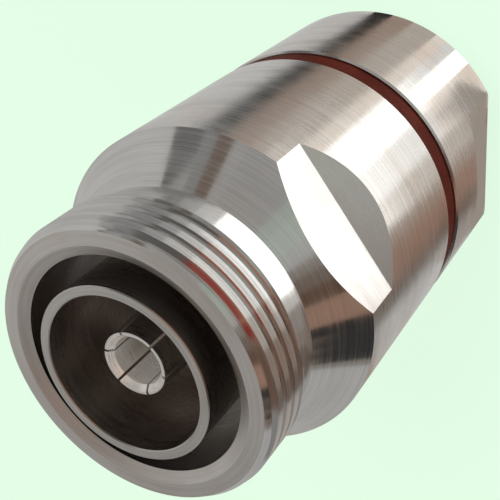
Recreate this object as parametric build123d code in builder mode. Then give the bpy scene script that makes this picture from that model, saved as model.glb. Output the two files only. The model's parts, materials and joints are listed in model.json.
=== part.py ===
from build123d import *
from math import cos, radians, sin, sqrt
import os

# Coaxial feeder-cable connector, female mating end, in millimetres.
# It stands on the rear face of its back nut, with the cable axis along Z and the mating end up.

# Outer lengths along the axis, from the rear face up
nut_length = 17.5
seal_gap = 3.0
barrel_length = 21.1
cone_length = 4.7
relief_length = 3.2
thread_length = 6.5

# Outer radii and edges
barrel_radius = 17.5
thread_radius = 14.5
relief_depth = 1.0
lead_in_depth = 0.7
lead_in_length = 1.0
thread_end_chamfer = 0.5
edge_break = 0.2

# Spanner flats, 31 across, milled with a slanted run-out at their inner end
flat_depth = 2.0
cut_past = 1.0
run_out_slope = 1.325
body_flat_length = 4.55
nut_flat_length = 7.7
nut_flat_turn = -32.3

# Mating interface
ring_wall = 3.25
mouth_flare = 1.1
mouth_depth = 0.6
groove_depth = 7.5
web_thickness = 3.0

# Outer contact sleeve, pressed into the front body from behind
sleeve_bore_radius = 8.0
sleeve_wall = 1.0
sleeve_proud = 0.8
sleeve_edge_break = 0.1
sleeve_shoulder = 1.0
flange_wall = 1.2

# Insulating beads and the ring that keeps the rear one
front_bead_seat = 1.0
front_bead_length = 4.0
front_bead_hole_radius = 2.2
rear_bead_length = 3.0
rear_bead_vent_radius = 1.2
rear_bead_vent_circle = 7.2
rear_bead_vents = 6
bead_ring_length = 1.5
bead_ring_width = 1.4

# Socket contact
socket_bore_radius = 2.5
socket_wall = 1.0
socket_finger_taper = 0.24
socket_rim_land = 0.3
socket_bevel_depth = 0.5
socket_bore_depth = 8.5
socket_recess = 1.2
socket_slots = 6
socket_slot_width = 0.25
socket_slot_length = 7.0
socket_slot_turn = 45.0
slot_cutter_spare = 1.0
socket_stud_radius = 1.5
socket_stud_length = 3.2

# Inner conductor between the beads, and the stud that carries the cable contact
conductor_radius = 4.0
conductor_length = 2.5
conductor_waist_radius = 3.2
conductor_stud_radius = 2.4
conductor_stud_recess = 0.2
tapped_hole_spare = 0.4

# Slotted contact that grips the cable's inner conductor
cable_contact_bore_radius = 4.5
cable_contact_wall = 1.1
cable_contact_length = 11.0
cable_contact_base = 2.4
cable_contact_mouth = 0.4
claw_slots = 6
claw_slot_width = 0.8
claw_slot_length = 7.5
contact_ring_height = 1.2
ring_wire_radius = 0.4
contact_ring_depth = 0.5

# Cable clamp
flare_clearance = 0.5
segment_clearance = 0.4
segment_wall = 1.0
claw_reach = 1.2
claw_height = 1.1
claw_back_height = 1.2
segments = 4
segment_gap = 1.2
clamp_ring_height = 2.8
clamp_ring_depth = 0.7
washer_clearance = 0.3
washer_width = 1.0
washer_thickness = 1.2

# Back nut
skirt_wall = 1.5
neck_clearance = 0.25
neck_wall = 1.65
neck_end_gap = 1.2
ledge_rise = 4.5
ledge_reach = 1.2
ledge_thickness = 1.5
wall_under_flats = 1.2
nut_bore_chamfer = 0.5
gasket_seat_depth = 1.4
gasket_stop_length = 3.8
gasket_length = 5.5
gasket_wall = 1.1
gasket_lip_height = 0.7
gasket_lips = 3

# Joint seal between nut and body
seal_recess = 0.3
seal_squeeze_gap = 0.1
seal_edge_radius = 0.4

# Body cavity behind the beads
cavity_chamfer = 0.5
seat_depth = 3.1
seat_land = 0.2

# Radii that follow from the walls and clearances
relief_radius = thread_radius - relief_depth
ring_face_radius = thread_radius - lead_in_depth
groove_radius = thread_radius - ring_wall
mouth_radius = groove_radius + mouth_flare
sleeve_radius = sleeve_bore_radius + sleeve_wall
front_bead_radius = sleeve_bore_radius + front_bead_seat
sleeve_flange_radius = front_bead_radius + flange_wall
socket_radius = socket_bore_radius + socket_wall
socket_rim_radius = socket_radius - socket_finger_taper
cable_contact_radius = cable_contact_bore_radius + cable_contact_wall
contact_ring_seat = cable_contact_radius - contact_ring_depth
cavity_radius = barrel_radius - skirt_wall
neck_radius = cavity_radius - neck_clearance
clamp_bore_radius = neck_radius - neck_wall
rear_bead_radius = clamp_bore_radius - seat_depth
bead_ring_hole_radius = rear_bead_radius - bead_ring_width
segment_radius = clamp_bore_radius - segment_clearance
segment_bore_radius = segment_radius - segment_wall
claw_radius = segment_bore_radius - claw_reach
clamp_ring_seat = segment_radius - clamp_ring_depth
washer_radius = clamp_bore_radius - washer_clearance
washer_hole_radius = washer_radius - washer_width
ledge_radius = clamp_bore_radius - ledge_reach
flat_distance = barrel_radius - flat_depth
nut_bore_radius = flat_distance - wall_under_flats
gasket_seat_radius = nut_bore_radius + gasket_seat_depth
gasket_valley_radius = gasket_seat_radius - gasket_wall
gasket_lip_radius = gasket_valley_radius - gasket_lip_height

# Heights that follow from the lengths
barrel_base = nut_length + seal_gap
cone_base = barrel_base + barrel_length
relief_base = cone_base + cone_length
thread_base = relief_base + relief_length
ring_face = thread_base + thread_length
groove_floor = ring_face - groove_depth
web_base = groove_floor - web_thickness
sleeve_top = ring_face + sleeve_proud
front_bead_top = web_base - sleeve_shoulder
front_bead_base = front_bead_top - front_bead_length
socket_rim = ring_face - socket_recess
rear_bead_top = front_bead_base - conductor_length
rear_bead_base = rear_bead_top - rear_bead_length
bead_ring_base = rear_bead_base - bead_ring_length
cable_contact_end = rear_bead_base - cable_contact_length
cup_floor = rear_bead_base - cable_contact_base
seat_top = bead_ring_base - seat_land
seat_base = seat_top - seat_depth
cavity_top = seat_base - seat_land
neck_top = cavity_top - neck_end_gap
ledge_top = nut_length + ledge_rise
ledge_base = ledge_top - ledge_thickness
gasket_seat_top = ledge_base - gasket_stop_length
gasket_seat_base = gasket_seat_top - gasket_length
segment_base = ledge_top + washer_thickness


def flat_section(side, floor_end, open_end, run_out):
    """Corners of one milled flat: its floor and the slanted wall where the cutter ran out."""
    past = flat_depth + cut_past
    wall_end = floor_end + run_out * past * run_out_slope
    return [
        (side * flat_distance, open_end),
        (side * flat_distance, floor_end),
        (side * (flat_distance + past), wall_end),
        (side * (flat_distance + past), open_end),
    ]


# Front body: threaded ring, relief, cone and barrel turned as one piece, with two flats
body_floor_end = cone_base - body_flat_length
with BuildPart() as front_body:
    with BuildSketch(Plane.XZ):
        with BuildLine():
            Polyline(
                (cavity_radius + cavity_chamfer, barrel_base),
                (barrel_radius - edge_break, barrel_base),
                (barrel_radius, barrel_base + edge_break),
                (barrel_radius, cone_base),
                (relief_radius, relief_base),
                (relief_radius, thread_base),
                (thread_radius - thread_end_chamfer, thread_base),
                (thread_radius, thread_base + thread_end_chamfer),
                (thread_radius, ring_face - lead_in_length),
                (ring_face_radius, ring_face),
                (mouth_radius, ring_face),
                (groove_radius, ring_face - mouth_depth),
                (groove_radius, groove_floor),
                (sleeve_radius, groove_floor),
                (sleeve_radius, web_base),
                (sleeve_flange_radius, web_base),
                (sleeve_flange_radius, rear_bead_top),
                (rear_bead_radius, rear_bead_top),
                (rear_bead_radius, seat_top),
                (clamp_bore_radius, seat_base),
                (clamp_bore_radius, cavity_top),
                (cavity_radius, cavity_top),
                (cavity_radius, barrel_base + cavity_chamfer),
                close=True,
            )
        make_face()
    revolve(axis=Axis.Z)
    for side in (-1, 1):
        with BuildSketch(Plane.YZ):
            with BuildLine():
                Polyline(*flat_section(side, body_floor_end, thread_base, -1), close=True)
            make_face()
        extrude(amount=barrel_radius, both=True, mode=Mode.SUBTRACT)
front_body.part.label = "front_body"

# Outer contact: a thin sleeve with a flange that seats under the web
with BuildPart() as outer_contact:
    with BuildSketch(Plane.XZ):
        with BuildLine():
            Polyline(
                (sleeve_bore_radius + sleeve_edge_break, sleeve_top),
                (sleeve_radius - sleeve_edge_break, sleeve_top),
                (sleeve_radius, sleeve_top - sleeve_edge_break),
                (sleeve_radius, web_base),
                (sleeve_flange_radius, web_base),
                (sleeve_flange_radius, front_bead_base),
                (front_bead_radius, front_bead_base),
                (front_bead_radius, front_bead_top),
                (sleeve_bore_radius, front_bead_top),
                (sleeve_bore_radius, sleeve_top - sleeve_edge_break),
                close=True,
            )
        make_face()
    revolve(axis=Axis.Z)
outer_contact.part.label = "outer_contact"

# Front bead, trapped between the socket's head and the inner conductor
with BuildPart() as front_insulator:
    with BuildSketch(Plane.XY.offset(front_bead_base)):
        Circle(front_bead_radius)
        Circle(front_bead_hole_radius, mode=Mode.SUBTRACT)
    extrude(amount=front_bead_length)
front_insulator.part.label = "front_insulator"

# Rear bead, with axial vents
with BuildPart() as rear_insulator:
    with BuildSketch(Plane.XY.offset(rear_bead_base)):
        Circle(rear_bead_radius)
        Circle(conductor_waist_radius, mode=Mode.SUBTRACT)
        with PolarLocations(rear_bead_vent_circle, rear_bead_vents):
            Circle(rear_bead_vent_radius, mode=Mode.SUBTRACT)
    extrude(amount=rear_bead_length)
rear_insulator.part.label = "rear_insulator"

# Ring pressed in behind the rear bead
with BuildPart() as insulator_ring:
    with BuildSketch(Plane.XY.offset(bead_ring_base)):
        Circle(rear_bead_radius)
        Circle(bead_ring_hole_radius, mode=Mode.SUBTRACT)
    extrude(amount=bead_ring_length)
insulator_ring.part.label = "insulator_ring"

# Socket contact: slotted fingers that close in at the rim, a waist through the bead and a threaded stud
socket_bore_floor = socket_rim - socket_bore_depth
socket_stud_end = front_bead_base - socket_stud_length
with BuildPart() as socket_contact:
    with BuildSketch(Plane.XZ):
        with BuildLine():
            Polyline(
                (0, socket_stud_end),
                (socket_stud_radius, socket_stud_end),
                (socket_stud_radius, front_bead_base),
                (front_bead_hole_radius, front_bead_base),
                (front_bead_hole_radius, front_bead_top),
                (socket_radius, front_bead_top),
                (socket_radius, socket_rim - socket_slot_length),
                (socket_rim_radius, socket_rim),
                (socket_rim_radius - socket_rim_land, socket_rim),
                (socket_bore_radius, socket_rim - socket_bevel_depth),
                (socket_bore_radius, socket_bore_floor),
                (0, socket_bore_floor),
                close=True,
            )
        make_face()
    revolve(axis=Axis.Z)
    with BuildSketch(Plane.XY.offset(socket_rim - socket_slot_length)):
        with PolarLocations(socket_radius, socket_slots, start_angle=socket_slot_turn):
            Rectangle(2 * socket_wall + slot_cutter_spare, socket_slot_width)
    extrude(amount=socket_slot_length, mode=Mode.SUBTRACT)
socket_contact.part.label = "socket_contact"

# Inner conductor: tapped for the socket's stud, with a waist through the rear bead
tapped_hole_depth = socket_stud_length + tapped_hole_spare
conductor_stud_end = cup_floor + conductor_stud_recess
with BuildPart() as inner_conductor:
    with BuildSketch(Plane.XZ):
        with BuildLine():
            Polyline(
                (0, conductor_stud_end),
                (conductor_stud_radius, conductor_stud_end),
                (conductor_stud_radius, rear_bead_base),
                (conductor_waist_radius, rear_bead_base),
                (conductor_waist_radius, rear_bead_top),
                (conductor_radius, rear_bead_top),
                (conductor_radius, front_bead_base),
                (socket_stud_radius, front_bead_base),
                (socket_stud_radius, front_bead_base - tapped_hole_depth),
                (0, front_bead_base - tapped_hole_depth),
                close=True,
            )
        make_face()
    revolve(axis=Axis.Z)
inner_conductor.part.label = "inner_conductor"

# Cable contact: a cup of six claws screwed on the conductor's stud
contact_ring_at = cable_contact_end + contact_ring_height
with BuildPart() as cable_contact:
    with BuildSketch(Plane.XZ):
        with BuildLine():
            Polyline(
                (conductor_stud_radius, rear_bead_base),
                (conductor_stud_radius, cup_floor),
                (cable_contact_bore_radius, cup_floor),
                (cable_contact_bore_radius, cable_contact_end + cable_contact_mouth),
                (cable_contact_bore_radius + cable_contact_mouth, cable_contact_end),
                (cable_contact_radius, cable_contact_end),
                (cable_contact_radius, contact_ring_at - ring_wire_radius),
                (contact_ring_seat, contact_ring_at - ring_wire_radius),
                (contact_ring_seat, contact_ring_at + ring_wire_radius),
                (cable_contact_radius, contact_ring_at + ring_wire_radius),
                (cable_contact_radius, rear_bead_base),
                close=True,
            )
        make_face()
    revolve(axis=Axis.Z)
    with BuildSketch(Plane.XY.offset(cable_contact_end)):
        with PolarLocations(cable_contact_radius, claw_slots):
            Rectangle(2 * cable_contact_wall + slot_cutter_spare, claw_slot_width)
    extrude(amount=claw_slot_length, mode=Mode.SUBTRACT)
cable_contact.part.label = "cable_contact"

# Spring ring in the claws' groove
with BuildPart() as contact_spring_ring:
    with BuildSketch(Plane.XZ):
        with Locations((contact_ring_seat + ring_wire_radius, contact_ring_at)):
            Circle(ring_wire_radius)
    revolve(axis=Axis.Z)
contact_spring_ring.part.label = "contact_spring_ring"

# Clamp segments: a collet ring whose claw drops into the cable's corrugation, cut in four
cone_line = seat_top + rear_bead_radius - flare_clearance * sqrt(2)
segment_top = cone_line - claw_radius
segment_shoulder = cone_line - segment_radius
claw_base = segment_top - claw_height
clamp_ring_at = segment_base + clamp_ring_height
clamp_segments = []
for index in range(segments):
    with BuildPart() as clamp_segment:
        with BuildSketch(Plane.XZ):
            with BuildLine():
                Polyline(
                    (segment_bore_radius, segment_base),
                    (segment_radius, segment_base),
                    (segment_radius, clamp_ring_at - ring_wire_radius),
                    (clamp_ring_seat, clamp_ring_at - ring_wire_radius),
                    (clamp_ring_seat, clamp_ring_at + ring_wire_radius),
                    (segment_radius, clamp_ring_at + ring_wire_radius),
                    (segment_radius, segment_shoulder),
                    (claw_radius, segment_top),
                    (claw_radius, claw_base),
                    (segment_bore_radius, claw_base - claw_back_height),
                    close=True,
                )
            make_face()
        revolve(axis=Axis.Z)
        sector_turn = (index + 0.5) * 360 / segments
        half_angle = radians(180 / segments)
        apex = segment_gap / 2 / sin(half_angle)
        reach = 2 * segment_radius  # well past the ring, so that the cutter's far side clears it
        with BuildSketch(Plane.XY.offset(segment_base).rotated((0, 0, sector_turn))):
            with BuildLine():
                Polyline(
                    (apex, 0),
                    (apex + reach * cos(half_angle), reach * sin(half_angle)),
                    (apex + reach * cos(half_angle), -reach * sin(half_angle)),
                    close=True,
                )
            make_face()
        extrude(amount=segment_top - segment_base, mode=Mode.INTERSECT)
    clamp_segment.part.label = f"clamp_segment_{index + 1}"
    clamp_segments.append(clamp_segment.part)

# Spring ring that holds the segments together
with BuildPart() as clamp_spring_ring:
    with BuildSketch(Plane.XZ):
        with Locations((clamp_ring_seat + ring_wire_radius, clamp_ring_at)):
            Circle(ring_wire_radius)
    revolve(axis=Axis.Z)
clamp_spring_ring.part.label = "clamp_spring_ring"

# Thrust washer between the turning nut and the clamp segments
with BuildPart() as thrust_washer:
    with BuildSketch(Plane.XY.offset(ledge_top)):
        Circle(washer_radius)
        Circle(washer_hole_radius, mode=Mode.SUBTRACT)
    extrude(amount=washer_thickness)
thrust_washer.part.label = "thrust_washer"

# Back nut: barrel with two flats, and a threaded neck that screws into the body
with BuildPart() as back_nut:
    with BuildSketch(Plane.XZ):
        with BuildLine():
            Polyline(
                (nut_bore_radius + nut_bore_chamfer, 0),
                (barrel_radius - edge_break, 0),
                (barrel_radius, edge_break),
                (barrel_radius, nut_length - edge_break),
                (barrel_radius - edge_break, nut_length),
                (neck_radius, nut_length),
                (neck_radius, neck_top - thread_end_chamfer),
                (neck_radius - thread_end_chamfer, neck_top),
                (clamp_bore_radius, neck_top),
                (clamp_bore_radius, ledge_top),
                (ledge_radius, ledge_top),
                (ledge_radius, ledge_base),
                (nut_bore_radius, ledge_base),
                (nut_bore_radius, gasket_seat_top),
                (gasket_seat_radius, gasket_seat_top),
                (gasket_seat_radius, gasket_seat_base),
                (nut_bore_radius, gasket_seat_base),
                (nut_bore_radius, nut_bore_chamfer),
                close=True,
            )
        make_face()
    revolve(axis=Axis.Z)
    nut_flat_plane = Plane(
        origin=(0, 0, 0),
        x_dir=Vector(0, 1, 0).rotate(Axis.Z, nut_flat_turn),
        z_dir=Vector(1, 0, 0).rotate(Axis.Z, nut_flat_turn),
    )
    for side in (-1, 1):
        with BuildSketch(nut_flat_plane):
            with BuildLine():
                Polyline(*flat_section(side, nut_flat_length, 0, 1), close=True)
            make_face()
        extrude(amount=barrel_radius, both=True, mode=Mode.SUBTRACT)
back_nut.part.label = "back_nut"

# Red seal that fills the gap between nut and body
with BuildPart() as joint_seal:
    with BuildSketch(Plane.XY.offset(nut_length)):
        Circle(barrel_radius - seal_recess)
        Circle(neck_radius, mode=Mode.SUBTRACT)
    extrude(amount=seal_gap - seal_squeeze_gap)
    rim = joint_seal.edges().filter_by(GeomType.CIRCLE).group_by(SortBy.RADIUS)[-1]
    fillet(rim, seal_edge_radius)
joint_seal.part.label = "joint_seal"

# Ribbed gasket that seals on the cable's jacket
lip_pitch = gasket_length / gasket_lips
with BuildPart() as jacket_gasket:
    with BuildSketch(Plane.XZ):
        with BuildLine():
            corners = [(gasket_seat_radius, gasket_seat_top), (gasket_seat_radius, gasket_seat_base)]
            for lip in range(gasket_lips):
                lip_base = gasket_seat_base + lip * lip_pitch
                corners.append((gasket_valley_radius, lip_base))
                corners.append((gasket_lip_radius, lip_base + lip_pitch / 2))
            corners.append((gasket_valley_radius, gasket_seat_top))
            Polyline(*corners, close=True)
        make_face()
    revolve(axis=Axis.Z)
jacket_gasket.part.label = "jacket_gasket"

os.makedirs("parts", exist_ok=True)
export_step(front_body.part, "parts/front_body.step")
export_step(outer_contact.part, "parts/outer_contact.step")
export_step(front_insulator.part, "parts/front_insulator.step")
export_step(rear_insulator.part, "parts/rear_insulator.step")
export_step(insulator_ring.part, "parts/insulator_ring.step")
export_step(socket_contact.part, "parts/socket_contact.step")
export_step(inner_conductor.part, "parts/inner_conductor.step")
export_step(cable_contact.part, "parts/cable_contact.step")
export_step(contact_spring_ring.part, "parts/contact_spring_ring.step")
for segment in clamp_segments:
    export_step(segment, f"parts/{segment.label}.step")
export_step(clamp_spring_ring.part, "parts/clamp_spring_ring.step")
export_step(thrust_washer.part, "parts/thrust_washer.step")
export_step(back_nut.part, "parts/back_nut.step")
export_step(joint_seal.part, "parts/joint_seal.step")
export_step(jacket_gasket.part, "parts/jacket_gasket.step")
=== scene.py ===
import json
from math import ceil, copysign, cos, floor, hypot, pi, radians, sin, tan

import bmesh
import bpy
from mathutils import Matrix, Vector


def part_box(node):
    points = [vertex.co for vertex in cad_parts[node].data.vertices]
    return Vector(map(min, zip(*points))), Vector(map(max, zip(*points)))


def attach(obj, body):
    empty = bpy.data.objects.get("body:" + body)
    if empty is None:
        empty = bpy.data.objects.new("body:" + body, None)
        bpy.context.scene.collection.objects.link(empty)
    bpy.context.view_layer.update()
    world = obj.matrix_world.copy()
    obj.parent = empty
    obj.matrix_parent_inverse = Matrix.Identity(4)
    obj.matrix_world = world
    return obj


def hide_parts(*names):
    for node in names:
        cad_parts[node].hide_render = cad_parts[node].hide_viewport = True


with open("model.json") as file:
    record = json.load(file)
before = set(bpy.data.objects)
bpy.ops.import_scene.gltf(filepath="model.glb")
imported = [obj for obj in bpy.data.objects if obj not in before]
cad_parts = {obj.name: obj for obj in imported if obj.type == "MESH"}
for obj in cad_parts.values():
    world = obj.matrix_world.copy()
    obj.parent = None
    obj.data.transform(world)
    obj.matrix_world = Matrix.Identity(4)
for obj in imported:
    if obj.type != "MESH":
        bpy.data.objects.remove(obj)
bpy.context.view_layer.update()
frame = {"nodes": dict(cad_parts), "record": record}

# The cable axis is Z, with the mating end up and 0 at the rear face of the closed nut.
# Lengths are in millimetres and angles in degrees, unless a comment says otherwise.
MM = 0.001


# Sizes read from the frame

def node_span(node):
    """Lowest height, highest height and outer radius of a node."""
    low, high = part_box(node)
    return low.z / MM, high.z / MM, high.x / MM


barrel_base, ring_face, barrel_radius = node_span("front_body")
_, rear_bead_top, rear_bead_radius = node_span("rear_insulator")
bead_ring_base, _, _ = node_span("insulator_ring")
_, neck_top, _ = node_span("back_nut")
nut_length, _, _ = node_span("joint_seal")
ledge_top, _, _ = node_span("thrust_washer")
gasket_seat_base, gasket_seat_top, gasket_seat_radius = node_span("jacket_gasket")
mount_radius = {m["name"]: m["dims"].get("r_mm") for m in frame["record"]["mounts"]}
thread_radius = mount_radius["coupling_thread"]
nut_bore_radius = mount_radius["cable_entry"]

# Sizes of the front body that the frame's boxes don't give
cone_length = 4.7
relief_length = 3.2
thread_length = 6.5
relief_radius = 13.5
ring_face_radius = 13.8
lead_in_length = 1.0
thread_end_chamfer = 0.5
edge_break = 0.2
mouth_radius = 12.35
mouth_depth = 0.6
groove_radius = 11.25
groove_depth = 7.5
web_thickness = 3.0
sleeve_radius = 9.0
flange_radius = 10.2
seat_land = 0.2
seat_depth = 3.1
clamp_bore_radius = 14.1
cavity_radius = 16.0
cavity_chamfer = 0.5
socket_bevel_radius = 2.9

# Sizes of the back nut, and how far it unscrews
neck_radius = 15.75
ledge_radius = 12.9
ledge_thickness = 1.5
nut_bore_chamfer = 0.5
nut_travel = 7.5

# Spanner flats. The run-out's slope is its rise along the axis for each millimetre outward
flat_distance = 15.5
run_out_slope = 1.325
body_flat_length = 4.55
nut_flat_length = 7.7
nut_flat_turn = -32.3
cutter_margin = 1.0

# Threads: the pitch, the shares of it that crest and root take, and one point on a crest's upper edge
pitch = 1.5
crest_share = 0.57
root_share = 0.03
root_parts = 2
crest_break = 0.03
flank_angle = 30.0
crest_edge_height = 53.5
crest_edge_turn = -75.0

# Fineness of the turned meshes. Points closer than the last value, in metres, are one
columns = 360
smooth_angle = 12.0
merge_distance = 1e-7

# Places of the finishes on the turned pieces, after the plain turned one
milled_index = 1
polished_index = 2
satin_index = 3
# Place of the darker plate in the groove inside the mouth, whose lower base colour is painted shade
groove_shade_index = 4

# How far up a normal points, at the least, where a face belongs to the ring's face or its mouth's bevel
face_rise = 0.8

# Scales of the fine marks on the surfaces, in steps a metre
tool_lines = 5200.0
broad_lines = 500.0
plate_stains = 120.0
flat_lines = (300.0, 300.0, 9000.0)
flat_stains = 160.0
rubber_grain = 2500.0
rubber_patches = 250.0
bead_lines = 6000.0

# The part of a noise's range in which nearly all of its values lie, and a narrower one
noise_range = (0.3, 0.7)
noise_middle = (0.35, 0.65)

# Camera, at the photograph's viewing angle
camera_place = (14.814, -63.684, 107.229)
camera_aim = (0.43, 0.10, 32.9)
camera_roll = 132.8
camera_lens = 66.67
camera_near = 5.0

# Background
pale_green = (0.79, 1.0, 0.81, 1.0)
room_tone = (0.42, 0.40, 0.37, 1.0)
floor_size = 2000.0
floor_glow = 0.9

# Bearing of the photograph's camera. A turn from it round the barrel mirrors a bearing that is further round
view_turn = -77.3
bearing_ratio = 2.3
half_turn = 180 / bearing_ratio

# Reflection cards: the finest step round, and the gaps that keep cards apart where one covers another
card_step = 2.0
card_lift = 0.1
card_gap = 1.0

# How far the rings of level cards reach, outward from the barrel's side
near_reach = -2.2
nut_reach = 8.0
wing_reach = 24.3
middle_reach = 36.0
thread_reach = 41.5
far_reach = 95.0

# Heights of the upright cards
groove_card_base = 88.0
card_top = 120.0
red_wall_base = 246.0
roof_height = 290.0

# Cards beside the nut's flat and overhead
nut_flat_card_span = (-18, 13)
nut_flat_card_reach = 21.0
roof_half = 120.0
roof_ring_reach = 30.0
red_roof_half = 70
red_roof_step = 14
red_roof_base = 70.0
red_roof_reach = 97.5
red_roof_curve = 500.0

# Hues of the reflection cards. A card's tone is its hue times its level
hues = {
    "neutral": (1.0, 0.985, 0.96),
    "cream": (1.0, 0.90, 0.80),
    "sand": (1.0, 0.78, 0.65),
    "brown": (1.0, 0.62, 0.46),
    "green": (0.90, 1.0, 0.90),
    "red": (1.0, 0.02, 0.03),
}
red_level = 0.26

# Turns that are an edge of several cards
left_edge_turn = -71
dark_card_turn = -44
grey_roof_turns = (16, 35)

# Heights that follow
thread_base = ring_face - thread_length
relief_base = thread_base - relief_length
cone_base = relief_base - cone_length


# Meshes

def add_object(name, data):
    """New object with this data, in the scene."""
    made = bpy.data.objects.new(name, data)
    bpy.context.scene.collection.objects.link(made)
    return made


def mesh_object(name, mesh):
    """New object from a closed bmesh, with its faces turned outward. The bmesh is freed."""
    bmesh.ops.recalc_face_normals(mesh, faces=mesh.faces)
    data = bpy.data.meshes.new(name)
    mesh.to_mesh(data)
    mesh.free()
    return add_object(name, data)


def swept_mesh(name, outline):
    """Mesh turned round the Z axis. outline(turn) gives the closed section at that angle, in radians."""
    mesh = bmesh.new()
    rows = []
    for index in range(columns + 1):
        turn = 2 * pi * index / columns
        rows.append([
            mesh.verts.new((r * cos(turn) * MM, r * sin(turn) * MM, z * MM))
            for r, z in outline(turn)
        ])
    length = len(rows[0])
    for row, next_row in zip(rows, rows[1:]):
        for point in range(length):
            after = (point + 1) % length
            mesh.faces.new((row[point], next_row[point], next_row[after], row[after]))
    bmesh.ops.remove_doubles(mesh, verts=mesh.verts, dist=merge_distance)
    return mesh_object(name, mesh)


def thread_steps():
    """One pitch of the thread from the crest's upper edge down, as (share of pitch, depth) steps."""
    flank_share = (1 - crest_share - root_share) / 2
    flank_depth = flank_share * pitch / tan(radians(flank_angle))
    steep = 90 - flank_angle
    root_radius = root_share * pitch / (2 * sin(radians(steep)))
    middle = -crest_share - flank_share - root_share / 2
    steps = [
        (0.0, crest_break),
        (-crest_break / pitch, 0.0),
        (-crest_share + crest_break / pitch, 0.0),
        (-crest_share, crest_break),
    ]
    for part in range(root_parts + 1):
        lean = radians(steep - 2 * steep * part / root_parts)
        steps.append((
            middle + root_radius * sin(lean) / pitch,
            flank_depth + root_radius * (cos(lean) - cos(radians(steep))),
        ))
    return steps


def thread_rows(turn, crest_radius, low, high, limit):
    """Points of a right-hand thread's outline at one angle, from low to high, kept under limit(z)."""
    base = crest_edge_height - pitch * crest_edge_turn / 360
    start = base + pitch * turn / (2 * pi)
    steps = thread_steps()
    rows = []
    for lap in range(floor((low - base) / pitch) - 1, ceil((high - base) / pitch) + 2):
        for share, depth in reversed(steps):
            rows.append((start + (lap + share) * pitch, crest_radius - depth))
    points = []
    for z, r in rows:
        inside = min(max(z, low), high)
        if inside != z:
            r = thread_radius_at(inside, start, steps, crest_radius)
        points.append((min(r, limit(inside)), inside))
    return points


def thread_radius_at(z, start, steps, crest_radius):
    """Radius of the thread's outline at height z."""
    share = ((z - start) / pitch) % 1.0 - 1.0
    marks = steps + [(-1.0, steps[0][1])]
    for (above, depth_above), (below, depth_below) in zip(marks, marks[1:]):
        if below <= share <= above:
            mix = (above - share) / (above - below)
            return crest_radius - (depth_above + mix * (depth_below - depth_above))
    return crest_radius


def coupling_limit(z):
    """Lead-in and rear chamfer of the coupling thread."""
    lead_in = (thread_radius - ring_face_radius) / lead_in_length
    return min(
        thread_radius,
        ring_face_radius + (ring_face - z) * lead_in,
        thread_radius - thread_end_chamfer + (z - thread_base),
    )


def neck_limit(z):
    """End chamfer of the nut's neck."""
    return min(neck_radius, neck_radius - thread_end_chamfer + (neck_top - z))


def front_body_outline(turn):
    """Section of the front body at one angle, as (radius, height) points: outside up, then inside down."""
    web_base = ring_face - groove_depth - web_thickness
    seat_top = bead_ring_base - seat_land
    seat_base = seat_top - seat_depth
    cavity_top = seat_base - seat_land
    return [
        (cavity_radius + cavity_chamfer, barrel_base),
        (barrel_radius - edge_break, barrel_base),
        (barrel_radius, barrel_base + edge_break),
        (barrel_radius, cone_base),
        (relief_radius, relief_base),
        (relief_radius, thread_base),
        *thread_rows(turn, thread_radius, thread_base, ring_face, coupling_limit),
        (mouth_radius, ring_face),
        (groove_radius, ring_face - mouth_depth),
        (groove_radius, ring_face - groove_depth),
        (sleeve_radius, ring_face - groove_depth),
        (sleeve_radius, web_base),
        (flange_radius, web_base),
        (flange_radius, rear_bead_top),
        (rear_bead_radius, rear_bead_top),
        (rear_bead_radius, seat_top),
        (clamp_bore_radius, seat_base),
        (clamp_bore_radius, cavity_top),
        (cavity_radius, cavity_top),
        (cavity_radius, barrel_base + cavity_chamfer),
    ]


def back_nut_outline(turn):
    """Section of the back nut at one angle, as (radius, height) points: outside up, then inside down."""
    ledge_base = ledge_top - ledge_thickness
    return [
        (nut_bore_radius + nut_bore_chamfer, 0),
        (barrel_radius - edge_break, 0),
        (barrel_radius, edge_break),
        (barrel_radius, nut_length - edge_break),
        (barrel_radius - edge_break, nut_length),
        *thread_rows(turn, neck_radius, nut_length, neck_top, neck_limit),
        (clamp_bore_radius, neck_top),
        (clamp_bore_radius, ledge_top),
        (ledge_radius, ledge_top),
        (ledge_radius, ledge_base),
        (nut_bore_radius, ledge_base),
        (nut_bore_radius, gasket_seat_top),
        (gasket_seat_radius, gasket_seat_top),
        (gasket_seat_radius, gasket_seat_base),
        (nut_bore_radius, gasket_seat_base),
        (nut_bore_radius, nut_bore_chamfer),
    ]


def flat_cutter(side, turn_deg, floor_end, open_end, run_out):
    """Prism that mills one spanner flat, with its slanted run-out."""
    past = barrel_radius - flat_distance + cutter_margin
    wall_end = floor_end + run_out * past * run_out_slope
    section = [
        (flat_distance, open_end),
        (flat_distance, floor_end),
        (flat_distance + past, wall_end),
        (flat_distance + past, open_end),
    ]
    mesh = bmesh.new()
    ends = []
    for across in (-barrel_radius, barrel_radius):
        ends.append([
            mesh.verts.new((across * MM, side * out * MM, z * MM)) for out, z in section
        ])
    mesh.faces.new(ends[0])
    mesh.faces.new(ends[1])
    for corner in range(len(section)):
        after = (corner + 1) % len(section)
        mesh.faces.new((ends[0][corner], ends[0][after], ends[1][after], ends[1][corner]))
    mesh.transform(Matrix.Rotation(radians(turn_deg), 4, "Z"))
    return mesh_object("flat_cutter", mesh)


def mill_flats(piece, turn_deg, floor_end, open_end, run_out):
    """Cuts the two opposite spanner flats. The milled faces take the piece's second material."""
    for side in (-1, 1):
        cutter = flat_cutter(side, turn_deg, floor_end, open_end, run_out)
        cutter.data.materials.append(piece.data.materials[milled_index])
        cut = piece.modifiers.new("mill", "BOOLEAN")
        cut.operation = "DIFFERENCE"
        cut.solver = "EXACT"
        cut.material_mode = "TRANSFER"
        cut.object = cutter
        bpy.context.view_layer.objects.active = piece
        bpy.ops.object.modifier_apply(modifier=cut.name)
        bpy.data.objects.remove(cutter)


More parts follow.
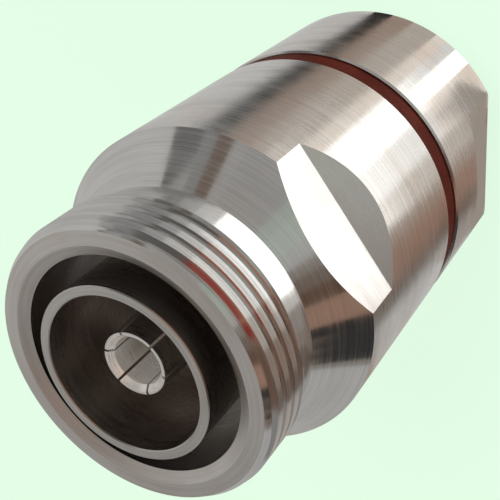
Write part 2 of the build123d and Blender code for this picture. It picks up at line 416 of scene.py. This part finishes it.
def set_normals(piece):
    """Shades turned faces as true surfaces of revolution, and keeps milled faces flat and edges sharp."""
    data = piece.data
    places = [Vector((v.co.x, v.co.y)).normalized() for v in data.vertices]
    touching = [[] for _ in data.vertices]
    slopes = []
    for face in data.polygons:
        face.use_smooth = True
        slant = hypot(face.normal.x, face.normal.y)
        side = face.normal.x * face.center.x + face.normal.y * face.center.y
        slopes.append((copysign(slant, side), face.normal.z))
        for vertex in face.vertices:
            touching[vertex].append(face.index)

    def is_milled(index):
        return data.polygons[index].material_index == milled_index

    def normal_at(index, vertex):
        if is_milled(index):
            return data.polygons[index].normal
        out, rise = slopes[index]
        return Vector((out * places[vertex][0], out * places[vertex][1], rise))

    normals = []
    for face in data.polygons:
        for vertex in face.vertices:
            own = normal_at(face.index, vertex)
            total = Vector()
            for other in touching[vertex]:
                near = normal_at(other, vertex)
                if is_milled(other) == is_milled(face.index) and near.dot(own) > cos(radians(smooth_angle)):
                    total += near
            normals.append(total.normalized())
    data.normals_split_custom_set(normals)


def give_finish(piece, index, lowest, highest, least_rise=-1.0, widest=barrel_radius):
    """Gives another of the piece's finishes to the faces between two heights, out to a radius."""
    for face in piece.data.polygons:
        height = face.center.z / MM
        radius = hypot(face.center.x, face.center.y) / MM
        if lowest < height < highest and radius < widest and face.normal.z >= least_rise:
            face.material_index = index


# Materials

def colour(red, green, blue):
    return (red, green, blue, 1.0)


class Shader:
    """A material's node tree, with short calls for the nodes that the finishes share."""

    def __init__(self, name):
        self.material = bpy.data.materials.new(name)
        self.material.use_nodes = True
        self.tree = self.material.node_tree
        self.surface = self.tree.nodes["Principled BSDF"]
        self.position = self.node("ShaderNodeTexCoord").outputs["Object"]

    def node(self, kind, **settings):
        made = self.tree.nodes.new(kind)
        for key, value in settings.items():
            setattr(made, key, value)
        return made

    def feed(self, value, socket):
        """Links an output to a socket, or sets the socket to a plain value."""
        if hasattr(value, "is_output"):
            self.tree.links.new(value, socket)
        else:
            socket.default_value = value

    def paint(self, **inputs):
        """Feeds the surface's own inputs, named with lines for spaces."""
        for name, value in inputs.items():
            self.feed(value, self.surface.inputs[name.replace("_", " ")])

    def maths(self, operation, first, second=0.0):
        made = self.node("ShaderNodeMath", operation=operation)
        self.feed(first, made.inputs[0])
        self.feed(second, made.inputs[1])
        return made.outputs[0]

    def spread(self, value, between, onto):
        """Maps one range of a value smoothly onto another."""
        made = self.node("ShaderNodeMapRange", interpolation_type="SMOOTHSTEP")
        self.feed(value, made.inputs["Value"])
        for socket, number in zip(("From Min", "From Max", "To Min", "To Max"), (*between, *onto)):
            made.inputs[socket].default_value = number
        return made.outputs["Result"]

    def blend(self, share, first, second, how="MIX"):
        made = self.node("ShaderNodeMix", data_type="RGBA", blend_type=how)
        self.feed(share, made.inputs[0])
        self.feed(first, made.inputs[6])
        self.feed(second, made.inputs[7])
        return made.outputs[2]

    def grey(self, value):
        made = self.node("ShaderNodeCombineColor")
        for socket in made.inputs[:3]:
            self.feed(value, socket)
        return made.outputs[0]

    def noise(self, vector, scale, detail=2.0, w=None):
        made = self.node("ShaderNodeTexNoise", noise_dimensions="3D" if w is None else "4D")
        self.feed(vector, made.inputs["Vector"])
        if w is not None:
            self.feed(w, made.inputs["W"])
        made.inputs["Scale"].default_value = scale
        made.inputs["Detail"].default_value = detail
        return made.outputs["Fac"]

    def around(self, turn_scale, line_scale):
        """Coordinates for lines that run round the axis: a 3D vector and the radius as the fourth value."""
        split = self.node("ShaderNodeSeparateXYZ")
        self.feed(self.position, split.inputs[0])
        x, y, z = split.outputs
        squares = self.maths("ADD", self.maths("MULTIPLY", x, x), self.maths("MULTIPLY", y, y))
        radius = self.maths("SQRT", squares)
        join = self.node("ShaderNodeCombineXYZ")
        self.feed(self.maths("MULTIPLY", self.maths("DIVIDE", x, radius), turn_scale), join.inputs[0])
        self.feed(self.maths("MULTIPLY", self.maths("DIVIDE", y, radius), turn_scale), join.inputs[1])
        self.feed(self.maths("MULTIPLY", z, line_scale), join.inputs[2])
        return join.outputs[0], self.maths("MULTIPLY", radius, line_scale)

    def lines_around(self, turn_scale, line_scale, detail):
        """Noise drawn out into lines that run round the axis."""
        vector, radius = self.around(turn_scale, line_scale)
        return self.noise(vector, 1.0, detail, radius)

    def bump(self, height, depth):
        """Fine relief, its depth in metres."""
        made = self.node("ShaderNodeBump")
        made.inputs["Strength"].default_value = 1.0
        made.inputs["Distance"].default_value = depth
        self.feed(height, made.inputs["Height"])
        self.paint(Normal=made.outputs["Normal"])


def turned_shader(name, base, warm, roughness, line_depth, anisotropy):
    """Plated metal with fine tool lines that run round the axis."""
    shader = Shader(name)
    fine = shader.lines_around(1.6, tool_lines, 4.0)
    broad = shader.lines_around(1.2, broad_lines, 2.0)
    stain = shader.noise(shader.position, plate_stains, 3.0)
    tone = shader.blend(shader.spread(stain, (0.45, 0.75), (0.0, 0.6)), colour(*base), colour(*warm))
    lines = shader.grey(shader.spread(fine, noise_range, (0.88, 1.04)))
    broad_rough = shader.spread(broad, noise_range, (roughness * 0.8, roughness * 1.15))
    fine_rough = shader.spread(fine, noise_middle, (0.0, 0.05))
    shader.paint(
        Base_Color=shader.blend(1.0, tone, lines, "MULTIPLY"),
        Roughness=shader.maths("ADD", broad_rough, fine_rough),
        Metallic=1.0,
        Anisotropic=anisotropy,
        Anisotropic_Rotation=0.25,
        Tangent=shader.node("ShaderNodeTangent", direction_type="RADIAL", axis="Z").outputs[0],
    )
    shader.bump(fine, line_depth)
    return shader


def turned_metal(name, **look):
    """Material of a turned and plated surface."""
    return turned_shader(name, **look).material


def socket_metal(name, **look):
    """Silver plate of the socket: bright outside, duller in its bore."""
    shader = turned_shader(name, **look)
    _, radius = shader.around(1.0, 1 / MM)
    bore_edge = (socket_bevel_radius - 0.1, socket_bevel_radius + 0.3)
    shader.paint(Metallic=shader.spread(radius, bore_edge, (0.68, 1.0)))
    return shader.material


def milled_metal(name, base, warm, roughness, turn_deg):
    """Spanner flat: straight brushed lines across the flat."""
    shader = Shader(name)
    turned = shader.node("ShaderNodeMapping")
    shader.feed(shader.position, turned.inputs["Vector"])
    turned.inputs["Rotation"].default_value = (0.0, 0.0, radians(-turn_deg))
    stretched = shader.node("ShaderNodeMapping")
    shader.feed(turned.outputs[0], stretched.inputs["Vector"])
    stretched.inputs["Scale"].default_value = flat_lines
    fine = shader.noise(stretched.outputs[0], 1.0, 3.0)
    stain = shader.noise(shader.position, flat_stains, 3.0)
    shader.paint(
        Base_Color=shader.blend(
            shader.spread(stain, (0.4, 0.75), (0.0, 0.5)), colour(*base), colour(*warm)),
        Roughness=shader.spread(fine, noise_range, (roughness, roughness + 0.1)),
        Metallic=1.0,
    )
    shader.bump(fine, depth=4e-6)
    return shader.material


def rubber(name, base, light):
    """Moulded silicone, slightly mottled."""
    shader = Shader(name)
    grain = shader.noise(shader.position, rubber_grain, 3.0)
    patch = shader.noise(shader.position, rubber_patches, 2.0)
    shader.paint(
        Base_Color=shader.blend(
            shader.spread(patch, (0.35, 0.7), (0.0, 1.0)), colour(*base), colour(*light)),
        Roughness=shader.spread(grain, noise_range, (0.50, 0.65)),
        Specular_IOR_Level=0.06,
    )
    shader.bump(grain, depth=8e-6)
    return shader.material


def polymer(name, base, light, roughness):
    """Turned polymer bead."""
    shader = Shader(name)
    lines = shader.lines_around(2.0, bead_lines, 2.0)
    shader.paint(
        Base_Color=shader.blend(
            shader.spread(lines, noise_range, (0.0, 1.0)), colour(*base), colour(*light)),
        Roughness=shader.spread(lines, noise_range, (roughness, roughness + 0.1)),
    )
    shader.bump(lines, depth=5e-6)
    return shader.material


plate = turned_metal(
    "bright_plate", base=(0.76, 0.75, 0.73), warm=(0.68, 0.59, 0.52),
    roughness=0.20, line_depth=1.2e-5, anisotropy=0.8)
polished = turned_metal(
    "polished_plate", base=(0.76, 0.76, 0.75), warm=(0.70, 0.66, 0.62),
    roughness=0.12, line_depth=1.2e-6, anisotropy=0.3)
satin = turned_metal(
    "satin_plate", base=(0.72, 0.69, 0.66), warm=(0.66, 0.60, 0.55),
    roughness=0.38, line_depth=5e-6, anisotropy=0.2)
tube_plate = turned_metal(
    "tube_plate", base=(0.62, 0.60, 0.57), warm=(0.55, 0.49, 0.44),
    roughness=0.26, line_depth=4e-6, anisotropy=0.4)
# Plate of the groove inside the mouth: its darker base colour is painted shade of the deep recess
groove_painted_shade_plate = turned_metal(
    "groove_painted_shade_plate", base=(0.47, 0.45, 0.43), warm=(0.42, 0.37, 0.34),
    roughness=0.26, line_depth=4e-6, anisotropy=0.4)
body_flat = milled_metal(
    "body_flat_plate", base=(0.80, 0.79, 0.77), warm=(0.66, 0.58, 0.52),
    roughness=0.26, turn_deg=0.0)
nut_flat = milled_metal(
    "nut_flat_plate", base=(0.74, 0.70, 0.65), warm=(0.66, 0.58, 0.52),
    roughness=0.30, turn_deg=nut_flat_turn)
silver = turned_metal(
    "silver_plate", base=(0.90, 0.88, 0.84), warm=(0.80, 0.74, 0.66),
    roughness=0.26, line_depth=3e-6, anisotropy=0.4)
socket_plate = socket_metal(
    "socket_plate", base=(0.90, 0.87, 0.83), warm=(0.82, 0.75, 0.68),
    roughness=0.30, line_depth=3e-6, anisotropy=0.2)
spring = turned_metal(
    "spring_wire", base=(0.60, 0.60, 0.60), warm=(0.52, 0.50, 0.48),
    roughness=0.30, line_depth=2e-6, anisotropy=0.2)
red_rubber = rubber("red_silicone", base=(0.082, 0.010, 0.006), light=(0.110, 0.016, 0.010))
amber = polymer("amber_polymer", base=(0.18, 0.145, 0.13), light=(0.24, 0.195, 0.175), roughness=0.35)
white = polymer("white_polymer", base=(0.78, 0.77, 0.74), light=(0.86, 0.85, 0.83), roughness=0.45)


# Pieces

def build_body():
    """Front body with its coupling thread, in place of the plain CAD node."""
    body = swept_mesh("threaded_body", front_body_outline)
    for material in (plate, body_flat, polished, satin, groove_painted_shade_plate):
        body.data.materials.append(material)
    bevel_base = ring_face - mouth_depth
    give_finish(body, polished_index, cone_base, ring_face)
    give_finish(body, satin_index, bevel_base, ring_face + edge_break, least_rise=face_rise)
    # The groove inside the mouth takes the darker plate, whose lower base colour is painted shade
    give_finish(body, groove_shade_index, relief_base, bevel_base, widest=mouth_radius)
    mill_flats(body, 0.0, cone_base - body_flat_length, thread_base, -1)
    set_normals(body)
    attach(body, "front")
    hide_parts("front_body")


def build_nut():
    """Back nut with its neck's thread, in place of the plain CAD node."""
    nut = swept_mesh("threaded_nut", back_nut_outline)
    for material in (plate, nut_flat):
        nut.data.materials.append(material)
    mill_flats(nut, nut_flat_turn, nut_flat_length, -cutter_margin, 1)
    set_normals(nut)
    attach(nut, "nut")
    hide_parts("back_nut")


def dress(node, material):
    """Gives a CAD node its finish."""
    made = frame["nodes"][node]
    made.data.materials.clear()
    made.data.materials.append(material)


def dress_nodes():
    """Finishes of the pieces that stay as they are in CAD."""
    dress("outer_contact", tube_plate)
    for node in ("insulator_ring", "thrust_washer",
                 "clamp_segment_1", "clamp_segment_2", "clamp_segment_3", "clamp_segment_4"):
        dress(node, plate)
    dress("socket_contact", socket_plate)
    for node in ("inner_conductor", "cable_contact"):
        dress(node, silver)
    for node in ("contact_spring_ring", "clamp_spring_ring"):
        dress(node, spring)
    for node in ("joint_seal", "jacket_gasket"):
        dress(node, red_rubber)
    dress("front_insulator", amber)
    dress("rear_insulator", white)


# Camera

def build_camera():
    """Camera with its roll, which holds the connector slantwise in the frame."""
    place = Vector(camera_place) * MM
    forward = (Vector(camera_aim) * MM - place).normalized()
    level = forward.cross(Vector((0, 0, 1))).normalized()
    upright = level.cross(forward)
    up = cos(radians(camera_roll)) * upright + sin(radians(camera_roll)) * level
    right = forward.cross(up)
    camera = add_object("camera", bpy.data.cameras.new("camera"))
    camera.data.lens = camera_lens
    camera.data.clip_start = camera_near * MM
    camera.matrix_world = Matrix((
        (right.x, up.x, -forward.x, place.x),
        (right.y, up.y, -forward.y, place.y),
        (right.z, up.z, -forward.z, place.z),
        (0, 0, 0, 1),
    ))
    bpy.context.scene.camera = camera


# Studio: a pale floor, lamps, and reflection cards that only metal and glass see

def empty_tree(owner):
    """Cleared node tree of a world or material, as its nodes and links."""
    owner.use_nodes = True
    owner.node_tree.nodes.clear()
    return owner.node_tree.nodes, owner.node_tree.links


def pale_ground(nodes, links, shown, other, share):
    """Shows one shader to the camera, to metal and to glass, by a share, and the other to the rest."""
    path = nodes.new("ShaderNodeLightPath")
    seen = path.outputs["Is Camera Ray"]
    for output in ("Is Glossy Ray", "Is Transmission Ray"):
        either = nodes.new("ShaderNodeMath")
        either.operation = "MAXIMUM"
        links.new(seen, either.inputs[0])
        links.new(path.outputs[output], either.inputs[1])
        seen = either.outputs[0]
    part = nodes.new("ShaderNodeMath")
    part.operation = "MULTIPLY"
    links.new(seen, part.inputs[0])
    part.inputs[1].default_value = share
    mix = nodes.new("ShaderNodeMixShader")
    links.new(part.outputs[0], mix.inputs[0])
    links.new(other, mix.inputs[1])
    links.new(shown, mix.inputs[2])
    return mix.outputs[0]


def build_world():
    """Grey light from all sides, with the pale background where it is seen."""
    world = bpy.data.worlds.new("studio")
    bpy.context.scene.world = world
    nodes, links = empty_tree(world)
    out = nodes.new("ShaderNodeOutputWorld")
    room = nodes.new("ShaderNodeBackground")
    room.inputs["Color"].default_value = room_tone
    ground = nodes.new("ShaderNodeBackground")
    ground.inputs["Color"].default_value = pale_green
    links.new(pale_ground(nodes, links, ground.outputs[0], room.outputs[0], 1.0), out.inputs[0])


def build_floor():
    """Pale floor. It lies where the nut's end comes to at its lowest, so that it hides nothing."""
    data = bpy.data.meshes.new("floor")
    corners = [
        (x * floor_size * MM, y * floor_size * MM, -nut_travel * MM)
        for x, y in ((-1, -1), (1, -1), (1, 1), (-1, 1))
    ]
    data.from_pydata(corners, [], [(0, 1, 2, 3)])
    material = bpy.data.materials.new("pale_floor")
    nodes, links = empty_tree(material)
    out = nodes.new("ShaderNodeOutputMaterial")
    matt = nodes.new("ShaderNodeBsdfDiffuse")
    matt.inputs["Color"].default_value = pale_green
    shown = nodes.new("ShaderNodeEmission")
    shown.inputs["Color"].default_value = pale_green
    links.new(pale_ground(nodes, links, shown.outputs[0], matt.outputs[0], floor_glow), out.inputs[0])
    data.materials.append(material)
    ground = add_object("floor", data)


def make_card(name, hue, level, points, faces):
    """Plain glowing card that only metal and glass see."""
    data = bpy.data.meshes.new(name)
    data.from_pydata(points, [], faces)
    material = bpy.data.materials.new(name)
    nodes, links = empty_tree(material)
    material.cycles.emission_sampling = "NONE"
    out = nodes.new("ShaderNodeOutputMaterial")
    glow = nodes.new("ShaderNodeEmission")
    glow.inputs["Color"].default_value = colour(*[level * part for part in hues[hue]])
    links.new(glow.outputs[0], out.inputs[0])
    data.materials.append(material)
    card = add_object(name, data)
    card.visible_camera = False
    card.visible_diffuse = False
    card.visible_shadow = False
    card.visible_volume_scatter = False


def fan_point(turn, reach, height):
    """Point on the line that a reflection takes from the barrel, for a turn from the camera's bearing."""
    start = radians(view_turn + turn)
    along = radians(view_turn + turn * bearing_ratio)
    return (
        (barrel_radius * cos(start) + reach * cos(along)) * MM,
        (barrel_radius * sin(start) + reach * sin(along)) * MM,
        height * MM,
    )


def turned_point(turn_deg, outward, across, height):
    """Point at a distance outward along a bearing and across it."""
    turn = radians(turn_deg)
    return (
        (outward * cos(turn) - across * sin(turn)) * MM,
        (outward * sin(turn) + across * cos(turn)) * MM,
        height * MM,
    )


def add_card(name, hue, level, first, last, profile):
    """Card between two turns. Its profile is its two edges, each as (reach, height)."""
    steps = max(2, int((last - first) / card_step))
    points = []
    for step in range(steps + 1):
        turn = first + (last - first) * step / steps
        points += [fan_point(turn, reach, height) for reach, height in profile]
    faces = [(k, k + 1, k + 3, k + 2) for k in range(0, 2 * steps, 2)]
    make_card(name, hue, level, points, faces)


def add_cards(name, profile, row):
    """Row of cards side by side, all round. Each entry of the row is (first turn, hue, level)."""
    ends = [entry[0] for entry in row[1:]] + [half_turn]
    for index, ((first, hue, level), last) in enumerate(zip(row, ends)):
        add_card(f"{name}_{index}", hue, level, first, last, profile)


def add_sheet(name, hue, level, turn_deg, across, outward, height):
    """Level rectangular card: its span across and outward from the axis, along a bearing."""
    points = [
        turned_point(turn_deg, outward[out], across[side], height)
        for side, out in ((0, 0), (1, 0), (1, 1), (0, 1))
    ]
    make_card(name, hue, level, points, [(0, 1, 2, 3)])


def build_near_cards(plane):
    """Level cards over a plane: the nut and the lower barrel reflect them."""
    low, middle, high = (plane + count * card_lift for count in (1, 2, 3))
    add_cards("near_card", [(near_reach, low), (middle_reach, low)], (
        (-half_turn, "green", 0.73),
        (left_edge_turn, "neutral", 0.62),
        (-47, "sand", 0.12),
        (-40.5, "brown", 0.35),
        (-30, "sand", 0.40),
        (-25, "cream", 0.62),
        (-16, "neutral", 1.12),
        (-5, "neutral", 1.70),
        (8, "cream", 0.92),
        (14, "cream", 0.52),
        (24.5, "sand", 0.38),
        (33.5, "neutral", 0.03),
        (41.5, "neutral", 0.62),
        (64, "green", 0.77),
    ))
    beside_nut = [(near_reach, middle), (nut_reach, middle)]
    add_card("nut_edge_card", "neutral", 0.50, -half_turn, left_edge_turn, beside_nut)
    add_card("nut_left_card", "cream", 0.98, -16, -3, beside_nut)
    add_card("nut_right_card", "neutral", 0.86, 4.5, 9, beside_nut)
    beside_flat = (flat_distance + card_lift, nut_flat_card_reach)
    add_sheet("nut_flat_card", "cream", 0.39, nut_flat_turn - 90, nut_flat_card_span, beside_flat, high)


def build_far_cards():
    """Level cards further out: the upper barrel, the neck and the thread's crests reflect them."""
    add_cards("far_card", [(middle_reach, card_lift), (thread_reach, card_lift)], (
        (-half_turn, "sand", 0.38),
        (-62, "sand", 0.35),
        (-50, "cream", 0.27),
        (-36, "neutral", 0.35),
        (-26, "neutral", 0.76),
        (-20, "neutral", 2.30),
        (18, "neutral", 0.74),
        (27, "neutral", 0.50),
        (35, "neutral", 0.29),
        (39, "neutral", 0.12),
        (43, "neutral", 0.58),
    ))
    add_cards("thread_card", [(thread_reach, card_lift), (far_reach, card_lift)], (
        (-half_turn, "cream", 0.42),
        (-50, "sand", 0.165),
        (-41, "sand", 0.27),
        (-26, "cream", 0.44),
        (-14, "neutral", 0.78),
        (12, "neutral", 0.58),
        (22, "neutral", 0.36),
        (29, "neutral", 0.26),
        (35, "neutral", 0.28),
        (40, "neutral", 0.34),
        (43, "neutral", 0.45),
    ))
    wing = [(wing_reach, 3 * card_lift), (middle_reach, 3 * card_lift)]
    add_card("window_wing", "neutral", 2.10, -22.5, -3, wing)


def build_walls():
    """Upright cards: the cone and the lead-in reflect the lower ones, the thread's grooves the high ones."""
    add_cards("upright", [(far_reach, card_lift), (far_reach, card_top)], (
        (-half_turn, "neutral", 0.45),
        (dark_card_turn, "cream", 0.265),
        (-42.5, "neutral", 0.035),
        (-31.5, "brown", 0.34),
        (-24.5, "brown", 0.13),
        (-20, "sand", 0.18),
        (-15.5, "cream", 0.26),
        (-12, "neutral", 0.45),
        (-7, "green", 0.49),
        (0, "green", 0.45),
        (4, "neutral", 0.37),
        (20, "neutral", 0.40),
        (23.5, "sand", 0.19),
        (27.5, "neutral", 0.27),
        (31, "neutral", 0.17),
        (38, "neutral", 0.53),
    ))
    inner_reach = far_reach - card_gap
    # The lead-in sees the dark card a little higher than the cone does
    for first, last, base, hue, level in (
        (dark_card_turn, -41, 64.5, "sand", 0.42),
        (-41, -38, 68.5, "sand", 0.25),
        (-38, -34.5, 71.5, "sand", 0.15),
        (31, 38, 74, "neutral", 0.38),
    ):
        above = [(inner_reach, base), (inner_reach, groove_card_base)]
        add_card(f"lead_in_card_{base}", hue, level, first, last, above)
    top = [(inner_reach, groove_card_base), (inner_reach, card_top)]
    add_card("groove_card", "neutral", 0.27, -half_turn, dark_card_turn, top)
    grey_start, grey_end = grey_roof_turns
    add_cards("high_card", [(far_reach, card_top), (far_reach, roof_height)], (
        (-half_turn, "neutral", 0.42),
        (-66, "neutral", 0.27),
        (-46, "brown", 0.155),
        (-30, "brown", 0.24),
        (-20, "brown", 0.40),
        (grey_start, "neutral", 0.11),
        (grey_end, "neutral", 0.25),
        (39.5, "neutral", 0.37),
        (44, "neutral", 0.50),
    ))
    red_wall = [(inner_reach, red_wall_base), (inner_reach, roof_height)]
    add_card("red_wall", "red", red_level, -28.5, -20, red_wall)
    corners = [
        fan_point(side * half_turn, far_reach, height)
        for side in (-1, 1) for height in (card_lift, roof_height)
    ]
    make_card("back_card", "neutral", 0.42, corners, [(0, 1, 3, 2)])


def build_roof():
    """Cards overhead, which the ring's face and the thread's grooves reflect."""
    whole = (-roof_half, roof_half)
    add_sheet("roof", "cream", 0.32, 0, whole, whole, roof_height)
    ring_height = roof_height - card_gap
    ring = [(roof_ring_reach, ring_height), (far_reach, ring_height)]
    grey_start, grey_end = grey_roof_turns
    add_card("brown_roof", "brown", 0.40, -33, grey_start, ring)
    add_card("grey_roof", "neutral", 0.11, grey_start, grey_end, ring)


def build_red_roof():
    """Red card overhead, with a rounded outer edge: the groove next to the ring's face reflects it."""
    height = roof_height - 2 * card_gap
    points = []
    for across in range(-red_roof_half, red_roof_half + 1, red_roof_step):
        for outward in (red_roof_base, red_roof_reach - across ** 2 / red_roof_curve):
            points.append(turned_point(view_turn, outward, across, height))
    faces = [(k, k + 1, k + 3, k + 2) for k in range(0, len(points) - 2, 2)]
    make_card("red_roof", "red", red_level, points, faces)


def add_lamp(name, place, size, power):
    """Round lamp aimed at the part's foot. Its place and size are in metres. Metal doesn't mirror it."""
    data = bpy.data.lights.new(name, "AREA")
    data.shape = "DISK"
    data.size = size
    data.energy = power
    lamp = add_object(name, data)
    lamp.location = place
    lamp.rotation_euler = (-Vector(place)).to_track_quat("-Z", "Y").to_euler()
    lamp.visible_glossy = False


build_body()
build_nut()
dress_nodes()
build_camera()
build_world()
build_floor()
# One set of near cards where the closed part stands, and one where the nut's end is at its lowest
for plane in (0, -nut_travel):
    build_near_cards(plane)
build_far_cards()
build_walls()
build_roof()
build_red_roof()
add_lamp("key_lamp", place=(0.25, -0.15, 0.45), size=0.25, power=1.6)
add_lamp("fill_lamp", place=(-0.35, -0.25, 0.30), size=0.30, power=0.7)

bpy.context.scene.view_settings.view_transform = "Standard"
